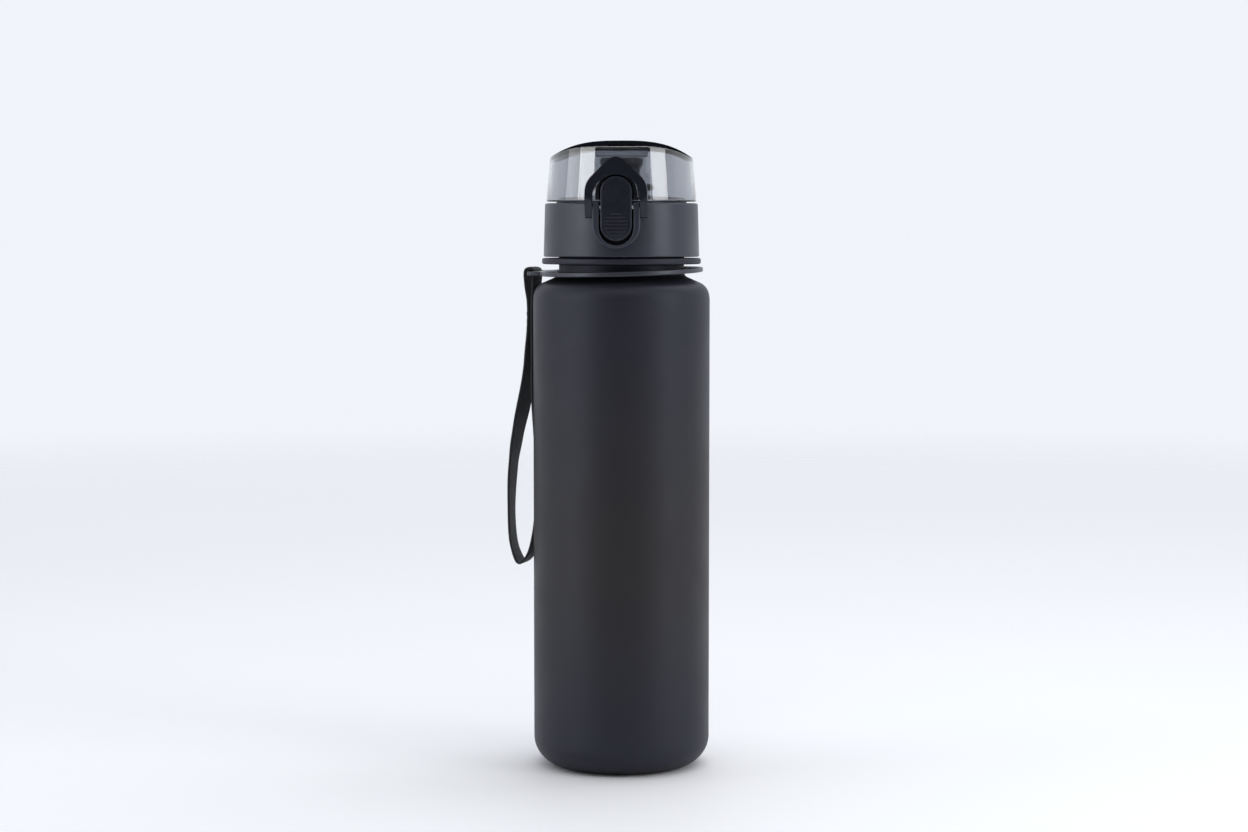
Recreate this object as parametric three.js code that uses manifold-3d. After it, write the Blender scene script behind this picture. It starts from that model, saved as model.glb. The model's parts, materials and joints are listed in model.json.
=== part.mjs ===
// Sports bottle with a screw-on flip lid, a push-button latch, a lock ring and a webbing wrist strap.
// Millimetres, +Z up. The origin is on the bottle's axis, in the plane it stands on.
// The button faces -Y, the cap's hinge is at +Y, and the strap hangs from the ring's ear near -X.

import * as THREE from 'three';
import { mergeVertices } from 'three/addons/utils/BufferGeometryUtils.js';
import Module from 'manifold-3d';

const wasm = await Module();
wasm.setup();

// ---------------------------------------------------------------- driving dimensions

const ROUND = 36;           // facets around the large turned pieces
const SMALL_ROUND = 24;     // facets around the small turned pieces
const PIN_ROUND = 12;       // facets around pins and their holes
const GAP = 0.3;            // least gap between two pieces

const BODY_R = 32.5;        // bottle outside radius
const WALL = 2.2;           // bottle wall
const BASE_FLAT_R = 22;     // flat part of the base
const SHOULDER_Z = 171.8;   // top of the straight side
const NECK_R = 23;          // neck outside radius, at the thread's root
const NECK_BORE_R = 20.6;
const NECK_BASE_Z = 182.8;
const NECK_TOP_Z = 203;
const FLANGE_R = 29.2;      // bead below the lid
const FLANGE_Z = 185.4;
const FLANGE_THICK = 2.2;

const THREAD_LEAD = 4;      // rise of the lid in one turn
const THREAD_TURNS = 2.4;
const THREAD_STEPS = 48;    // straight lengths along a thread
const THREAD_R = 1.1;       // radius of the round thread ridge
const THREAD_Z = 190.6;     // middle of the neck thread's lower end
const NECK_THREAD_R = 23.3; // radius of the neck ridge's middle
const LID_THREAD_R = 24.9;  // radius of the lid ridge's middle

const RING_MIDDLE_Z = 182.65; // strap ring, loose below the flange
const RING_THICK = 1.6;
const RING_R = 30;
const RING_BORE_R = 24.2;
const RING_TILT = 1.17;     // degrees; the strap's weight pulls the ear down
const RING_LEAN = 1.5;      // degrees; and the loose ring lies lower at the button's side
const EAR_REACH = 34.8;     // outer edge of the ear
const EAR_HALF = 7.5;
const SLOT_HALF = 5.7;
const SLOT_IN = 31.2;       // the slot, measured from the axis
const SLOT_OUT = 33.7;
const STRAP_ANGLE = THREE.MathUtils.degToRad(167.5);

const STRAP_WIDTH = 10;
const STRAP_THICK = 1.1;

const COLLAR_Z = 188.1;     // lid collar, lower and upper edge
const COLLAR_TOP_Z = 207.6;
const COLLAR_R = 28.6;
const COLLAR_TOP_R = 28.05;
const COLLAR_BORE_R = 27;

const CORE_R = 26.7;        // threaded inner cap with the deck
const CORE_BORE_R = 25;
const CORE_Z = 188.5;
const DECK_Z = 204.9;       // underside and top of the deck
const DECK_TOP_Z = 206.9;
const LIP_R = 23.9;         // upstanding lip of the deck, inside the cap's wall
const LIP_THICK = 1.9;
const LIP_TOP_Z = 210;

const CAP_Z = 208.3;        // smoked cap
const CAP_R = 27.6;
const CAP_TOP_R = 26.3;
const CAP_WALL_TOP_Z = 223.9; // top of the wall at the left and right
const CAP_APEX_Z = 230.5;
const CAP_WALL = 1.5;
const SIDE_DROP = CAP_APEX_Z - CAP_WALL_TOP_Z; // fall of the cap's arched top, to its left and right
const FRONT_DROP = 3;       // its fall to the front and to the back
const ARCH_POWER = 3;       // the higher, the flatter the arch's middle

const SPOUT_BORE_R = 4.6;
const SPOUT_STEM_R = 6.85;
const SPOUT_LIP_R = 8;
const SPOUT_BASE_R = 12;
const SPOUT_TOP_Z = 223.9;

const HINGE_Y = 31.2;       // cap hinge axis, along X
const HINGE_Z = 206.6;
const HINGE_R = 2.3;
const HINGE_PIN_R = 0.9;

const BUTTON_HALF = 5.6;    // latch button: half width, ends and faces
const BUTTON_Z = 193.9;
const BUTTON_TOP_Z = 217;
const BUTTON_FRONT = -32.2;
const BUTTON_BACK = -30;
const BUTTON_AXIS_Y = -29.6;
const BUTTON_AXIS_Z = 205.9;
const BUTTON_PIN_R = 0.8;

const BEZEL_HALF = 8.55;    // raised rim around the button, lower half on the collar
const BEZEL_Z = 191.2;
const BEZEL_FRONT = -31.8;
const BEZEL_OPENING_HALF = 6.1;
const BEZEL_OPENING_Z = 192.5;

const CATCH_HALF = 7.5;      // upper half of the rim, on the cap
const CATCH_Z = 208.5;
const CATCH_TOP_Z = 218.3;
const CATCH_FRONT = -30.4;
const CATCH_OPENING_HALF = 5.95;
const CATCH_OPENING_TOP_Z = 217.4;
const CATCH_PLATE_FRONT = -28.5;

const LOCK_HALF = 11.2;     // lock ring
const LOCK_INNER_HALF = 8.6;
const LOCK_FOOT_Z = 202;
const LOCK_TIP_Z = 223.8;
const LOCK_ARCH_TOP_Z = 217.6;
const LOCK_FRONT = -32.7;
const LOCK_AXIS_Y = -29.3;
const LOCK_AXIS_Z = 203.3;
const LOCK_FOOT_R = 1.3;
const LOCK_STUB_R = 0.8;

// ---------------------------------------------------------------- solids

// A closed geometry as a manifold solid, with its faces turned outwards.
function solid(geometry) {
  geometry.deleteAttribute('normal');
  geometry.deleteAttribute('uv');
  const merged = mergeVertices(geometry, 1e-4);
  const points = merged.getAttribute('position');
  const index = merged.index.array;
  const faces = [];
  let volume = 0;
  const a = new THREE.Vector3();
  const b = new THREE.Vector3();
  const c = new THREE.Vector3();
  for (let i = 0; i < index.length; i += 3) {
    const [p, q, r] = [index[i], index[i + 1], index[i + 2]];
    if (p === q || q === r || r === p) continue;
    faces.push(p, q, r);
    a.fromBufferAttribute(points, p);
    b.fromBufferAttribute(points, q);
    c.fromBufferAttribute(points, r);
    volume += a.dot(b.cross(c));
  }
  if (volume < 0) faces.reverse();
  const mesh = new wasm.Mesh({
    numProp: 3,
    vertProperties: new Float32Array(points.array),
    triVerts: new Uint32Array(faces),
  });
  return new wasm.Manifold(mesh);
}

function geometryOf(manifold) {
  const mesh = manifold.getMesh();
  const geometry = new THREE.BufferGeometry();
  geometry.setAttribute('position', new THREE.BufferAttribute(mesh.vertProperties, 3));
  geometry.setIndex(new THREE.BufferAttribute(mesh.triVerts, 1));
  geometry.computeVertexNormals();
  return geometry;
}

// A profile of radius and height, turned about Z.
function turned(profile, facets = ROUND) {
  const geometry = new THREE.LatheGeometry(profile, facets);
  geometry.rotateX(Math.PI / 2);
  return solid(geometry);
}

// A turned ring from a list of [radius, z], closed on itself.
function turnedRing(corners, facets = ROUND) {
  const profile = corners.map(([r, z]) => new THREE.Vector2(r, z));
  profile.push(profile[0].clone());
  return turned(profile, facets);
}

function extruded(shape, depth, curveSegments = 8) {
  return new THREE.ExtrudeGeometry(shape, { depth, bevelEnabled: false, curveSegments });
}

// A shape drawn in X and Z, from y = front back to y = back.
function plate(shape, front, back, curveSegments) {
  const geometry = extruded(shape, back - front, curveSegments);
  geometry.rotateX(Math.PI / 2);
  geometry.translate(0, back, 0);
  return solid(geometry);
}

// A shape drawn in Y and Z, from x = low to x = high.
function slab(shape, low, high, curveSegments) {
  const geometry = extruded(shape, high - low, curveSegments);
  const yzx = new THREE.Matrix4().makeBasis(
    new THREE.Vector3(0, 1, 0),
    new THREE.Vector3(0, 0, 1),
    new THREE.Vector3(1, 0, 0),
  );
  geometry.applyMatrix4(yzx);
  geometry.translate(low, 0, 0);
  return solid(geometry);
}

// A shape drawn in X and Y, from z = low to z = high.
function flat(shape, low, high, curveSegments) {
  const geometry = extruded(shape, high - low, curveSegments);
  geometry.translate(0, 0, low);
  return solid(geometry);
}

// A round bar along X.
function crossBar(radius, low, high, y, z, facets = PIN_ROUND) {
  const geometry = new THREE.CylinderGeometry(radius, radius, high - low, facets);
  geometry.rotateZ(Math.PI / 2);
  geometry.translate((low + high) / 2, y, z);
  return solid(geometry);
}

function block(xLow, xHigh, yLow, yHigh, zLow, zHigh) {
  const geometry = new THREE.BoxGeometry(xHigh - xLow, yHigh - yLow, zHigh - zLow);
  geometry.translate((xLow + xHigh) / 2, (yLow + yHigh) / 2, (zLow + zHigh) / 2);
  return solid(geometry);
}

// A wire or ridge of round section along a curve.
function rod(curve, radius, steps, sides = 6) {
  const section = new THREE.Shape();
  for (let i = 0; i < sides; i += 1) {
    const angle = (i / sides) * 2 * Math.PI;
    const corner = [radius * Math.cos(angle), radius * Math.sin(angle)];
    if (i === 0) section.moveTo(...corner);
    else section.lineTo(...corner);
  }
  section.closePath();
  return solid(new THREE.ExtrudeGeometry(section, { steps, extrudePath: curve }));
}

// A screw line about Z that climbs a lead each turn.
class Helix extends THREE.Curve {
  constructor(radius, start, lead, turns) {
    super();
    Object.assign(this, { radius, start, lead, turns });
    this.arcLengthDivisions = 400;
  }

  getPoint(t, target = new THREE.Vector3()) {
    const angle = t * this.turns * 2 * Math.PI;
    const z = this.start + (this.lead * angle) / (2 * Math.PI);
    return target.set(this.radius * Math.cos(angle), this.radius * Math.sin(angle), z);
  }
}

// ---------------------------------------------------------------- outlines

// A tall shape with a half-round lower end and a flat top.
function cupOutline(half, bottom, top) {
  const shape = new THREE.Shape();
  shape.moveTo(half, top);
  shape.lineTo(-half, top);
  shape.lineTo(-half, bottom + half);
  shape.absarc(0, bottom + half, half, Math.PI, 2 * Math.PI, false);
  shape.closePath();
  return shape;
}

// The same with the half-round end at the top.
function archOutline(half, bottom, top) {
  const shape = new THREE.Shape();
  shape.moveTo(-half, bottom);
  shape.lineTo(half, bottom);
  shape.lineTo(half, top - half);
  shape.absarc(0, top - half, half, 0, Math.PI, false);
  shape.closePath();
  return shape;
}

function stadiumOutline(half, bottom, top) {
  const shape = new THREE.Shape();
  shape.moveTo(half, bottom + half);
  shape.lineTo(half, top - half);
  shape.absarc(0, top - half, half, 0, Math.PI, false);
  shape.lineTo(-half, bottom + half);
  shape.absarc(0, bottom + half, half, Math.PI, 2 * Math.PI, false);
  return shape;
}

// ---------------------------------------------------------------- bottle

function bottleBody() {
  const corner = BODY_R - BASE_FLAT_R;
  const inner = BODY_R - WALL;
  const floor = 3;
  const p = new THREE.Path();
  p.moveTo(0, 0);
  p.lineTo(9, 0);
  p.lineTo(10, 0.8);
  p.lineTo(17, 0.8);
  p.lineTo(18, 0);
  p.lineTo(BASE_FLAT_R, 0);
  p.absarc(BASE_FLAT_R, corner, corner, -Math.PI / 2, 0, false);
  p.lineTo(BODY_R, SHOULDER_Z);
  p.bezierCurveTo(BODY_R, 176, 31, 177.8, 27.9, 179);
  p.lineTo(25.2, 180.2);
  p.quadraticCurveTo(23.2, 180.9, NECK_R, NECK_BASE_Z);
  p.lineTo(NECK_R, FLANGE_Z);
  p.lineTo(FLANGE_R - 0.6, FLANGE_Z);
  p.lineTo(FLANGE_R, FLANGE_Z + 0.6);
  p.lineTo(FLANGE_R, FLANGE_Z + FLANGE_THICK - 0.6);
  p.lineTo(FLANGE_R - 0.6, FLANGE_Z + FLANGE_THICK);
  p.lineTo(NECK_R, FLANGE_Z + FLANGE_THICK);
  p.lineTo(NECK_R, NECK_TOP_Z - 0.5);
  p.lineTo(NECK_R - 0.5, NECK_TOP_Z);
  p.lineTo(NECK_BORE_R, NECK_TOP_Z);
  p.lineTo(NECK_BORE_R, NECK_BASE_Z - 1);
  p.bezierCurveTo(NECK_BORE_R, 178.5, inner, 177.8, inner, SHOULDER_Z - 2);
  p.lineTo(inner, corner + 0.5);
  p.bezierCurveTo(inner, 5.5, 27.5, floor, BASE_FLAT_R, floor);
  p.lineTo(0, floor);
  const thread = new Helix(NECK_THREAD_R, THREAD_Z, THREAD_LEAD, THREAD_TURNS);
  return turned(p.getPoints(4)).add(rod(thread, THREAD_R, THREAD_STEPS));
}

// ---------------------------------------------------------------- strap ring and strap

function strapRing() {
  const corner = 2;
  const half = Math.asin(EAR_HALF / RING_R);
  const outline = new THREE.Shape();
  outline.moveTo(RING_R * Math.cos(half), EAR_HALF);
  outline.absarc(0, 0, RING_R, half, 2 * Math.PI - half, false);
  outline.lineTo(EAR_REACH - corner, -EAR_HALF);
  outline.absarc(EAR_REACH - corner, corner - EAR_HALF, corner, -Math.PI / 2, 0, false);
  outline.absarc(EAR_REACH - corner, EAR_HALF - corner, corner, 0, Math.PI / 2, false);
  outline.closePath();
  const bore = new THREE.Path();
  bore.absarc(0, 0, RING_BORE_R, 0, 2 * Math.PI, true);
  const slot = new THREE.Path();
  slot.moveTo(SLOT_IN, -SLOT_HALF);
  slot.lineTo(SLOT_IN, SLOT_HALF);
  slot.lineTo(SLOT_OUT, SLOT_HALF);
  slot.lineTo(SLOT_OUT, -SLOT_HALF);
  slot.closePath();
  outline.holes.push(bore, slot);
  return flat(outline, -RING_THICK / 2, RING_THICK / 2, 14)
    .rotate([-RING_LEAN, RING_TILT, 0])
    .translate([0, 0, RING_MIDDLE_Z]);
}

// The strap's middle line, as [distance from the axis, z]: over the ear's bar, down the outer
// strand, round the fold at the bottom and up the strand that lies along the bottle.
const STRAP_ROUTE = [
  [34.2, 183.75], [35.4, 183.4], [35.95, 182.1], [35.9, 179.5], [35.5, 176.0], [34.85, 172.0],
  [34.65, 167.0], [34.75, 160.0], [35.15, 154.0], [35.75, 146.5], [36.7, 139.5], [38.1, 132.2],
  [39.6, 125.5], [40.9, 118.7], [42.1, 110.5], [42.75, 101.5], [42.9, 91.5], [42.4, 83.0],
  [41.2, 77.8], [39.3, 74.0], [37.3, 74.3], [35.3, 76.9], [34.1, 81.0], [33.45, 88.0],
  [33.35, 98.0], [33.3, 118.0], [33.3, 142.0], [33.3, 166.0], [33.15, 173.0], [32.7, 178.5],
  [32.45, 182.1], [32.9, 183.35],
];

function wristStrap() {
  const route = STRAP_ROUTE.map(([out, z]) => new THREE.Vector3(out, 0, z));
  const line = new THREE.CatmullRomCurve3(route, true, 'catmullrom', 0.5);
  const steps = 80;
  const outer = [];
  const inner = [];
  for (let i = 0; i < steps; i += 1) {
    const point = line.getPoint(i / steps);
    const along = line.getTangent(i / steps);
    const side = new THREE.Vector2(along.z, -along.x).multiplyScalar(STRAP_THICK / 2);
    outer.push(new THREE.Vector2(point.x - side.x, point.z - side.y));
    inner.push(new THREE.Vector2(point.x + side.x, point.z + side.y));
  }
  const half = STRAP_WIDTH / 2;
  const loop = plate(new THREE.Shape(outer), -half, half);
  return loop.subtract(plate(new THREE.Shape(inner), -half - 1, half + 1));
}

// ---------------------------------------------------------------- screw lid

function neckGasket() {
  return turnedRing([
    [19.9, 203.3],
    [22.8, 203.3],
    [22.8, 204.6],
    [19.9, 204.6],
  ]);
}

// A plug that fills the collar's bore, to trim what is added to the collar from inside.
function collarBore() {
  const profile = [
    [0, COLLAR_Z - 5],
    [COLLAR_BORE_R, COLLAR_Z - 5],
    [COLLAR_BORE_R, COLLAR_TOP_Z + 5],
    [0, COLLAR_TOP_Z + 5],
  ];
  return turned(profile.map(([r, z]) => new THREE.Vector2(r, z)));
}

function hingeLug(low, high) {
  const shape = new THREE.Shape();
  shape.moveTo(25.5, 197);
  shape.lineTo(28, 197);
  shape.quadraticCurveTo(HINGE_Y + HINGE_R, 200, HINGE_Y + HINGE_R, HINGE_Z);
  shape.absarc(HINGE_Y, HINGE_Z, HINGE_R, 0, Math.PI, false);
  shape.lineTo(HINGE_Y - HINGE_R, 205);
  shape.lineTo(25.5, 205);
  shape.closePath();
  return slab(shape, low, high, 6);
}

function lidCollar() {
  const ring = turnedRing([
    [COLLAR_BORE_R, COLLAR_Z],
    [COLLAR_R - 0.4, COLLAR_Z],
    [COLLAR_R, COLLAR_Z + 0.4],
    [COLLAR_TOP_R, COLLAR_TOP_Z - 0.4],
    [COLLAR_TOP_R - 0.4, COLLAR_TOP_Z],
    [COLLAR_BORE_R, COLLAR_TOP_Z],
  ]);
  const bezel = plate(cupOutline(BEZEL_HALF, BEZEL_Z, COLLAR_TOP_Z), BEZEL_FRONT, -24);
  const opening = cupOutline(BEZEL_OPENING_HALF, BEZEL_OPENING_Z, COLLAR_TOP_Z + 2);
  return ring
    .add(bezel)
    .add(hingeLug(5.3, 8.8))
    .add(hingeLug(-8.8, -5.3))
    .subtract(collarBore())
    .subtract(plate(opening, BEZEL_FRONT - 2, -24))
    .subtract(crossBar(BUTTON_PIN_R + 0.2, -10, 10, BUTTON_AXIS_Y, BUTTON_AXIS_Z))
    .subtract(crossBar(LOCK_STUB_R + 0.2, -10, -7.1, LOCK_AXIS_Y, LOCK_AXIS_Z))
    .subtract(crossBar(LOCK_STUB_R + 0.2, 7.1, 10, LOCK_AXIS_Y, LOCK_AXIS_Z))
    .subtract(crossBar(HINGE_PIN_R + 0.2, -10, 10, HINGE_Y, HINGE_Z));
}

function lidCore() {
  const shell = turnedRing([
    [CORE_BORE_R, CORE_Z],
    [CORE_R, CORE_Z],
    [CORE_R, DECK_TOP_Z - 0.5],
    [CORE_R - 0.5, DECK_TOP_Z],
    [LIP_R, DECK_TOP_Z],
    [LIP_R, LIP_TOP_Z],
    [LIP_R - LIP_THICK, LIP_TOP_Z],
    [LIP_R - LIP_THICK, DECK_TOP_Z],
    [10.5, DECK_TOP_Z],
    [10.5, 209.4],
    [6.6, 209.4],
    [6.6, 207.3],
    [5, 207.3],
    [5, DECK_Z],
    [CORE_BORE_R, DECK_Z],
  ]);
  const start = THREAD_Z + THREAD_LEAD / 2;
  const thread = new Helix(LID_THREAD_R, start, THREAD_LEAD, THREAD_TURNS);
  return shell.add(rod(thread, THREAD_R, THREAD_STEPS));
}

function spout() {
  return turnedRing([
    [SPOUT_BORE_R, 207.6],
    [6.2, 207.6],
    [6.2, 209.7],
    [SPOUT_BASE_R, 209.7],
    [SPOUT_BASE_R, 211.3],
    [SPOUT_BASE_R - 0.4, 211.6],
    [8.6, 211.6],
    [8.6, 213.5],
    [7.2, 213.5],
    [7.2, 215.6],
    [7.7, 215.6],
    [SPOUT_STEM_R, 216.6],
    [SPOUT_STEM_R, SPOUT_TOP_Z - 3.3],
    [SPOUT_LIP_R, SPOUT_TOP_Z - 1.7],
    [SPOUT_LIP_R, SPOUT_TOP_Z - 0.6],
    [SPOUT_LIP_R - 0.6, SPOUT_TOP_Z],
    [SPOUT_BORE_R + 0.5, SPOUT_TOP_Z],
    [SPOUT_BORE_R, SPOUT_TOP_Z - 0.5],
  ], SMALL_ROUND);
}

function spoutSealRing() {
  return turnedRing([
    [7.5, 213.8],
    [11.6, 213.8],
    [SPOUT_BASE_R, 214.2],
    [SPOUT_BASE_R, 214.9],
    [11.6, 215.3],
    [7.5, 215.3],
  ], SMALL_ROUND);
}

// ---------------------------------------------------------------- cap

// Height of the cap's top. across and along are shares of the rim's radius, in X and in Y.
function topHeight(across, along, apex) {
  return apex - SIDE_DROP * Math.abs(across) ** ARCH_POWER - FRONT_DROP * along ** 2;
}

// A filled cap: a round foot, a wall that leans in, and a top arched mostly from side to side.
function capBlock(inset, footZ, apex) {
  const rings = 6;
  const lean = (CAP_R - CAP_TOP_R) / (CAP_WALL_TOP_Z - CAP_Z);
  const wallR = (z) => CAP_R - inset - lean * (z - CAP_Z);
  const points = [0, 0, footZ, 0, 0, apex];
  for (let ring = -1; ring < rings; ring += 1) {
    for (let i = 0; i < ROUND; i += 1) {
      const angle = (i / ROUND) * 2 * Math.PI;
      const [x, y] = [Math.cos(angle), Math.sin(angle)];
      const share = Math.cos((ring / rings) * (Math.PI / 2));
      const r = ring < 0 ? wallR(footZ) : share * wallR(topHeight(x, y, apex));
      const z = ring < 0 ? footZ : topHeight(share * x, share * y, apex);
      points.push(r * x, r * y, z);
    }
  }
  const at = (row, i) => 2 + row * ROUND + (i % ROUND);
  const faces = [];
  for (let i = 0; i < ROUND; i += 1) {
    faces.push(0, at(0, i + 1), at(0, i));
    for (let row = 0; row < rings; row += 1) {
      faces.push(at(row, i), at(row, i + 1), at(row + 1, i + 1));
      faces.push(at(row, i), at(row + 1, i + 1), at(row + 1, i));
    }
    faces.push(at(rings, i), at(rings, i + 1), 1);
  }
  const geometry = new THREE.BufferGeometry();
  geometry.setAttribute('position', new THREE.Float32BufferAttribute(points, 3));
  geometry.setIndex(faces);
  return solid(geometry);
}

// The cap's outside, filled and grown by a clearance, to trim what is fitted to it.
function capOutside(clearance) {
  const profile = [
    [0, CAP_Z - 5],
    [CAP_R + clearance + 0.4, CAP_Z - 5],
    [CAP_TOP_R + clearance, CAP_WALL_TOP_Z],
    [0, CAP_WALL_TOP_Z],
  ];
  return turned(profile.map(([r, z]) => new THREE.Vector2(r, z)));
}

function hingeKnuckle(low, high) {
  const shape = new THREE.Shape();
  shape.moveTo(26.9, 208.8);
  shape.lineTo(26.3, 214.5);
  shape.lineTo(28.2, 214.5);
  shape.quadraticCurveTo(HINGE_Y + HINGE_R, 212.5, HINGE_Y + HINGE_R, HINGE_Z);
  shape.absarc(HINGE_Y, HINGE_Z, HINGE_R, 0, -Math.PI, true);
  shape.lineTo(HINGE_Y - HINGE_R, 208.8);
  shape.closePath();
  return slab(shape, low, high, 6);
}

function capShell() {
  const shell = capBlock(0, CAP_Z, CAP_APEX_Z)
    .subtract(capBlock(CAP_WALL, CAP_Z - 1, CAP_APEX_Z - CAP_WALL));
  const plugSeat = turnedRing([
    [10, 226.2],
    [11.2, 226.2],
    [11.2, 229.2],
    [10, 229.2],
  ], SMALL_ROUND);
  return shell
    .add(plugSeat)
    .add(hingeKnuckle(2.2, 5))
    .add(hingeKnuckle(-5, -2.2))
    .subtract(crossBar(HINGE_PIN_R + 0.2, -6, 6, HINGE_Y, HINGE_Z));
}

function capCatch() {
  const arch = archOutline(CATCH_HALF, CATCH_Z, CATCH_TOP_Z);
  const opening = archOutline(CATCH_OPENING_HALF, CATCH_Z - 2, CATCH_OPENING_TOP_Z);
  return plate(arch, CATCH_FRONT, -23)
    .subtract(plate(opening, CATCH_FRONT - 2, CATCH_PLATE_FRONT))
    .add(block(-3, 3, -28.8, -26, 212.2, 213.8))
    .subtract(capOutside(GAP));
}

function capPlug() {
  return turned([
    [0, SPOUT_TOP_Z - 1.3],
    [3.7, SPOUT_TOP_Z - 1.3],
    [4.1, SPOUT_TOP_Z - 0.9],
    [4.1, SPOUT_TOP_Z + GAP],
    [9.7, SPOUT_TOP_Z + GAP],
    [9.7, 227.8],
    [0, 227.8],
  ].map(([r, z]) => new THREE.Vector2(r, z)), SMALL_ROUND);
}

function hingePin() {
  return crossBar(HINGE_PIN_R, -9.1, 9.1, HINGE_Y, HINGE_Z);
}

// A torsion spring between the cap's two knuckles, with one leg up the cap and one down the collar.
class TorsionWire extends THREE.Curve {
  constructor(radius, half, turns, leg) {
    super();
    Object.assign(this, { radius, half, turns, leg });
    this.arcLengthDivisions = 400;
  }

  getPoint(t, target = new THREE.Vector3()) {
    const coil = this.turns * 2 * Math.PI * this.radius;
    const at = t * (coil + 2 * this.leg) - this.leg;
    const along = THREE.MathUtils.clamp(at / coil, 0, 1);
    const angle = Math.PI + along * this.turns * 2 * Math.PI;
    const past = at < 0 ? at : Math.max(0, at - coil);
    return target.set(
      (2 * along - 1) * this.half,
      this.radius * Math.cos(angle),
      this.radius * Math.sin(angle) - past,
    );
  }
}

function hingeSpring() {
  const wire = new TorsionWire(1.6, 1.5, 4, 4);
  return rod(wire, 0.25, 72).translate([0, HINGE_Y, HINGE_Z]);
}

// ---------------------------------------------------------------- latch button and lock ring

function latchButton() {
  const face = plate(stadiumOutline(BUTTON_HALF, BUTTON_Z, BUTTON_TOP_Z), BUTTON_FRONT, BUTTON_BACK);
  const lug = crossBar(1.9, -3.2, 3.2, BUTTON_AXIS_Y, BUTTON_AXIS_Z);
  const hook = block(-2.6, 2.6, BUTTON_BACK - 0.5, -29.1, 214.2, 215.8);
  let button = face.add(lug).add(hook);
  const gripMiddle = 199.75;
  const gripR = 4.4;
  const ribs = 7;
  const pitch = 1.25;
  for (let i = 0; i < ribs; i += 1) {
    const rise = (i - (ribs - 1) / 2) * pitch;
    const half = Math.sqrt(gripR ** 2 - rise ** 2) - 0.3;
    const z = gripMiddle + rise;
    button = button.add(block(-half, half, BUTTON_FRONT - 0.3, BUTTON_FRONT + 0.5, z - 0.3, z + 0.3));
  }
  return button.subtract(crossBar(BUTTON_PIN_R + 0.2, -6, 6, BUTTON_AXIS_Y, BUTTON_AXIS_Z));
}

function buttonPin() {
  return crossBar(BUTTON_PIN_R, -8.3, 8.3, BUTTON_AXIS_Y, BUTTON_AXIS_Z);
}

function buttonSpring() {
  const wire = rod(new Helix(1.7, 0, 0.7, 3), 0.22, 36);
  return wire.rotate([-90, 0, 0]).translate([0, -29.45, 198]);
}

function lockRing() {
  const face = new THREE.Shape();
  face.moveTo(LOCK_HALF, LOCK_FOOT_Z);
  face.lineTo(LOCK_HALF, 210.5);
  face.bezierCurveTo(LOCK_HALF, 214.6, 9.6, 216.3, 7.5, 218.2);
  face.lineTo(2.6, 222.7);
  face.quadraticCurveTo(1.3, LOCK_TIP_Z, 0, LOCK_TIP_Z);
  face.quadraticCurveTo(-1.3, LOCK_TIP_Z, -2.6, 222.7);
  face.lineTo(-7.5, 218.2);
  face.bezierCurveTo(-9.6, 216.3, -LOCK_HALF, 214.6, -LOCK_HALF, 210.5);
  face.lineTo(-LOCK_HALF, LOCK_FOOT_Z);
  face.lineTo(-LOCK_INNER_HALF, LOCK_FOOT_Z);
  face.lineTo(-LOCK_INNER_HALF, 209);
  face.absellipse(0, 209, LOCK_INNER_HALF, LOCK_ARCH_TOP_Z - 209, Math.PI, 0, true);
  face.lineTo(LOCK_INNER_HALF, LOCK_FOOT_Z);
  face.closePath();
  const side = new THREE.Shape();
  side.moveTo(LOCK_FRONT, 230);
  side.lineTo(LOCK_FRONT, 207.5);
  side.lineTo(LOCK_AXIS_Y - LOCK_FOOT_R, LOCK_AXIS_Z);
  side.absarc(LOCK_AXIS_Y, LOCK_AXIS_Z, LOCK_FOOT_R, Math.PI, 2 * Math.PI, false);
  side.lineTo(LOCK_AXIS_Y + LOCK_FOOT_R, 209);
  side.lineTo(-30.8, 212);
  side.lineTo(-30.8, 230);
  side.closePath();
  return plate(face, LOCK_FRONT - 1, -27)
    .intersect(slab(side, -12, 12, 6))
    .add(crossBar(LOCK_STUB_R, -9.5, -7.4, LOCK_AXIS_Y, LOCK_AXIS_Z))
    .add(crossBar(LOCK_STUB_R, 7.4, 9.5, LOCK_AXIS_Y, LOCK_AXIS_Z));
}

// ---------------------------------------------------------------- the assembly

const bottle = new THREE.Group();

function finish(color, roughness, metalness = 0) {
  return () => new THREE.MeshStandardMaterial({ color, roughness, metalness });
}

const frostedBlack = finish(0x1c1c1f, 0.55);
const satinBlack = finish(0x26262a, 0.5);
const glossBlack = finish(0x141416, 0.2);
const blackWebbing = finish(0x101012, 0.9);
const blackRubber = finish(0x18181a, 0.7);
const clearSilicone = finish(0xb9bcc2, 0.4);
const smoke = finish(0x5a5d63, 0.1);
const steel = finish(0xb4b4b4, 0.3, 1);

function place(name, shape, material, parent = bottle) {
  const mesh = new THREE.Mesh(geometryOf(shape), material());
  mesh.name = name;
  parent.add(mesh);
  return mesh;
}

place('bottle_body', bottleBody(), frostedBlack);

const strapSide = new THREE.Group();
strapSide.rotation.z = STRAP_ANGLE;
bottle.add(strapSide);
place('strap_ring', strapRing(), satinBlack, strapSide);
place('wrist_strap', wristStrap(), blackWebbing, strapSide);

place('neck_gasket', neckGasket(), clearSilicone);
place('lid_collar', lidCollar(), satinBlack);
place('lid_core', lidCore(), satinBlack);
place('spout', spout(), glossBlack);
place('spout_seal_ring', spoutSealRing(), blackRubber);

place('cap_shell', capShell(), smoke);
place('cap_catch', capCatch(), glossBlack);
place('cap_plug', capPlug(), clearSilicone);
place('hinge_pin', hingePin(), steel);
place('hinge_spring', hingeSpring(), steel);

place('latch_button', latchButton(), glossBlack);
place('button_pin', buttonPin(), steel);
place('button_spring', buttonSpring(), steel);
place('lock_ring', lockRing(), glossBlack);

export default bottle;
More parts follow.
